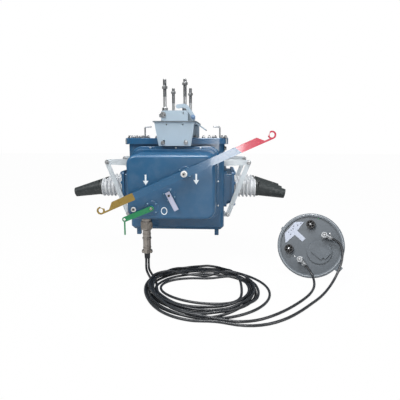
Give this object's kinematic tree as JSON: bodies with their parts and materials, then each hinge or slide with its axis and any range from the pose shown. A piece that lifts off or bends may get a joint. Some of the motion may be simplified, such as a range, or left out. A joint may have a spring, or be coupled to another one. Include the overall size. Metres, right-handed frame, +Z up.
{
  "type": "pole-mounted vacuum load break switch with its control unit and cables",
  "caption": "Blue tank switch with pressed front cover, two-handed operating lever, side bushings with cable boots, pole hanger, and a round control unit on a coiled pair of cables.",
  "frame": {"origin": "middle of the hanger's seat, where the pole's crossarm rests", "axes": "X to the right seen from the front, Y to the back, Z up"},
  "size_m": [1.388, 1.1917, 0.936],
  "materials": {
    "tank_paint": "satin paint",
    "hanger_paint": "pale grey paint",
    "bracket_zinc": "galvanised grey",
    "stud_steel": "zinc plated",
    "silicone": "matt off-white",
    "boot_rubber": "matt black",
    "lever_paint": "gloss paint, gold, blue and red",
    "trip_green": "gloss paint",
    "pointer_white": "white paint",
    "plug_metal": "nickel plated",
    "connector_metal": "bright plated",
    "cable_jacket": "satin black jacket",
    "unit_paint": "grey paint",
    "status_white": "matt white",
    "cap_black": "matt black"
  },
  "bodies": {
    "switch": {"brace_stubs_left": "bracket_zinc", "brace_stubs_right": "bracket_zinc", "bracket_arms_left": "bracket_zinc", "bracket_arms_right": "bracket_zinc", "bracket_braces_left": "bracket_zinc", "bracket_braces_right": "bracket_zinc", "bushings_left": "silicone", "bushings_right": "silicone", "cable_boots_left": "boot_rubber", "cable_boots_right": "boot_rubber", "cable_coil": "cable_jacket", "cable_drop_left": "cable_jacket", "cable_drop_right": "cable_jacket", "cable_tail_left": "cable_jacket", "cable_tail_right": "cable_jacket", "cap_left": "cap_black", "cap_right": "cap_black", "clamp_claw": "hanger_paint", "connector_left": "connector_metal", "connector_right": "connector_metal", "control_plug": "plug_metal", "control_socket": "plug_metal", "feet": "tank_paint", "front_frame": "tank_paint", "hanger_base_plate": "hanger_paint", "hanger_front_plate": "hanger_paint", "hanger_lugs": "hanger_paint", "hanger_rear_leg": "hanger_paint", "hanger_saddle": "hanger_paint", "hanger_studs": "stud_steel", "hanger_wing": "hanger_paint", "lever_boss": "tank_paint", "lid_rod_left": "stud_steel", "lid_rod_right": "stud_steel", "mechanism_cover": "tank_paint", "plug_sleeve": "cable_jacket", "pointer_boss": "tank_paint", "saddle_end_plate": "hanger_paint", "side_housing_left": "tank_paint", "side_housing_right": "tank_paint", "status_plate": "status_white", "tank_body": "tank_paint", "tank_lid": "tank_paint", "trip_boss": "tank_paint", "trip_stop": "stud_steel", "unit_boss": "unit_paint", "unit_face": "unit_paint", "unit_hood": "unit_paint", "unit_latch": "unit_paint", "unit_lug": "unit_paint"},
    "lever": {"operating_lever": "lever_paint", "lever_hub": "stud_steel"},
    "trip": {"trip_lever": "trip_green"},
    "strip": {"pull_strip": "trip_green"},
    "pointer": {"position_pointer": "pointer_white"}
  },
  "joints": [
    {"name": "lever_swing", "type": "hinge", "parent": "switch", "child": "lever", "pos_m": [0.067, -0.43, -0.29], "axis": [0, 1, 0], "range_deg": [0, 48]},
    {"name": "trip_pull", "type": "hinge", "parent": "switch", "child": "trip", "pos_m": [-0.088, -0.403, -0.452], "axis": [0, -1, 0], "range_deg": [0, 40], "stiffness_Nm_per_rad": 0.2, "springref_deg": -28.65},
    {"name": "strip_swing", "type": "hinge", "parent": "trip", "child": "strip", "pos_m": [-0.21171, -0.407, -0.5035], "axis": [0, -1, 0], "range_deg": [-60, 30]},
    {"name": "pointer_swing", "type": "hinge", "parent": "switch", "child": "pointer", "pos_m": [-0.006, -0.4, -0.392], "axis": [0, 1, 0], "range_deg": [0, 44]}
  ]
}
